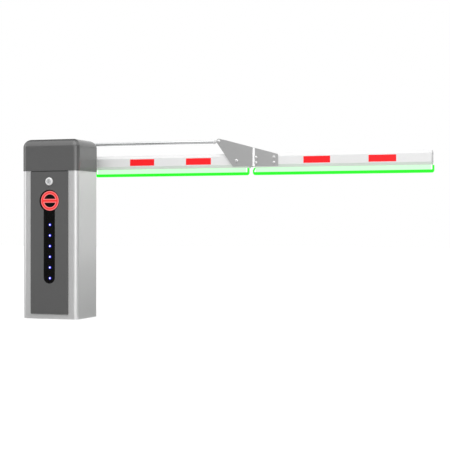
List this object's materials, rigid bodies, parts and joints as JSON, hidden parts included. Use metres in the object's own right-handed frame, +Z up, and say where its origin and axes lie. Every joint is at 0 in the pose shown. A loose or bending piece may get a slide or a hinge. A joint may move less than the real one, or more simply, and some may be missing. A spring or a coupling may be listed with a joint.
{
  "type": "folding-arm parking barrier",
  "caption": "Parking barrier with a sheet-steel drive cabinet, a lit octagonal boom that folds on a bracket held level by a tie rod, and a lamp display in the door.",
  "frame": {"origin": "centre of the cabinet's foot, on the ground", "axes": "+X along the lowered boom to its tip, +Y away from the service door, +Z up"},
  "size_m": [2.249, 0.4039, 1.009],
  "materials": {
    "silver_powder_coat": "satin powder coat",
    "graphite_powder_coat": "satin powder coat",
    "black_acrylic": "gloss",
    "red_lamp_lens": "lit lens",
    "blue_white_led_lens": "lit lens",
    "polished_chrome": "polished",
    "zinc_die_cast": "satin",
    "galvanised_steel": "zinc plated",
    "cast_aluminium": "as cast",
    "motor_enamel": "enamel",
    "bracket_steel": "satin",
    "bright_steel": "bright drawn",
    "white_boom_enamel": "white gloss coat",
    "white_moulded_plug": "moulded",
    "opal_lamp_diffuser": "lit opal",
    "green_lamp_edge": "lit edge",
    "sintered_bronze": "sintered"
  },
  "bodies": {
    "cabinet": {"base_plate": "galvanised_steel", "left_wall": "silver_powder_coat", "right_wall": "silver_powder_coat", "rear_panel": "silver_powder_coat", "front_bottom_rail": "silver_powder_coat", "front_head_rail": "silver_powder_coat", "service_door": "graphite_powder_coat", "display_tray": "black_acrylic", "stop_ring_light": "red_lamp_lens", "status_leds": "blue_white_led_lens", "lock_collar": "polished_chrome", "lock_barrel": "zinc_die_cast", "top_cap": "graphite_powder_coat", "bearing_plate": "galvanised_steel", "shaft_bearing": "bright_steel", "drive_shelf": "galvanised_steel", "drive_gearbox": "cast_aluminium", "drive_motor": "motor_enamel", "rod_anchor_bracket": "bracket_steel", "rod_anchor_pin": "bright_steel"},
    "inner_boom": {"main_shaft": "bright_steel", "clamp_jaw_front": "bracket_steel", "clamp_jaw_rear": "bracket_steel", "clamp_bolts": "galvanised_steel", "inner_boom_tube": "white_boom_enamel", "inner_boom_root_plug": "white_moulded_plug", "inner_boom_fold_plug": "white_moulded_plug", "inner_lamp_strip": "opal_lamp_diffuser", "inner_lamp_edge": "green_lamp_edge", "fold_bushes": "sintered_bronze"},
    "outer_boom": {"fold_bracket_front": "bracket_steel", "fold_bracket_rear": "bracket_steel", "fold_bracket_bolts": "galvanised_steel", "fold_pin": "galvanised_steel", "ear_pin": "bright_steel", "ear_spacers": "galvanised_steel", "outer_boom_tube": "white_boom_enamel", "outer_boom_root_plug": "white_moulded_plug", "outer_boom_tip_plug": "white_moulded_plug", "outer_lamp_strip": "opal_lamp_diffuser", "outer_lamp_edge": "green_lamp_edge"},
    "tie_rod": {"tie_rod_bar": "bright_steel", "rod_end_cabinet": "bright_steel", "rod_end_fold": "bright_steel", "tie_rod_nuts": "galvanised_steel"}
  },
  "joints": [
    {"name": "boom_lift", "type": "hinge", "parent": "cabinet", "child": "inner_boom", "pos_m": [0, 0.2155, 0.879], "axis": [0, -1, 0], "range_deg": [0, 90]},
    {"name": "boom_fold", "type": "hinge", "parent": "inner_boom", "child": "outer_boom", "pos_m": [0.9915, 0.2155, 0.879], "axis": [0, -1, 0], "range_deg": [-90, 0]},
    {"name": "tie_rod_swing", "type": "hinge", "parent": "cabinet", "child": "tie_rod", "pos_m": [-0.105, 0.2155, 0.989], "axis": [0, -1, 0], "range_deg": [0, 90]}
  ],
  "couplings": [
    {"joint": "boom_fold", "follows": "boom_lift", "ratio": -1},
    {"joint": "tie_rod_swing", "follows": "boom_lift", "ratio": 1}
  ]
}
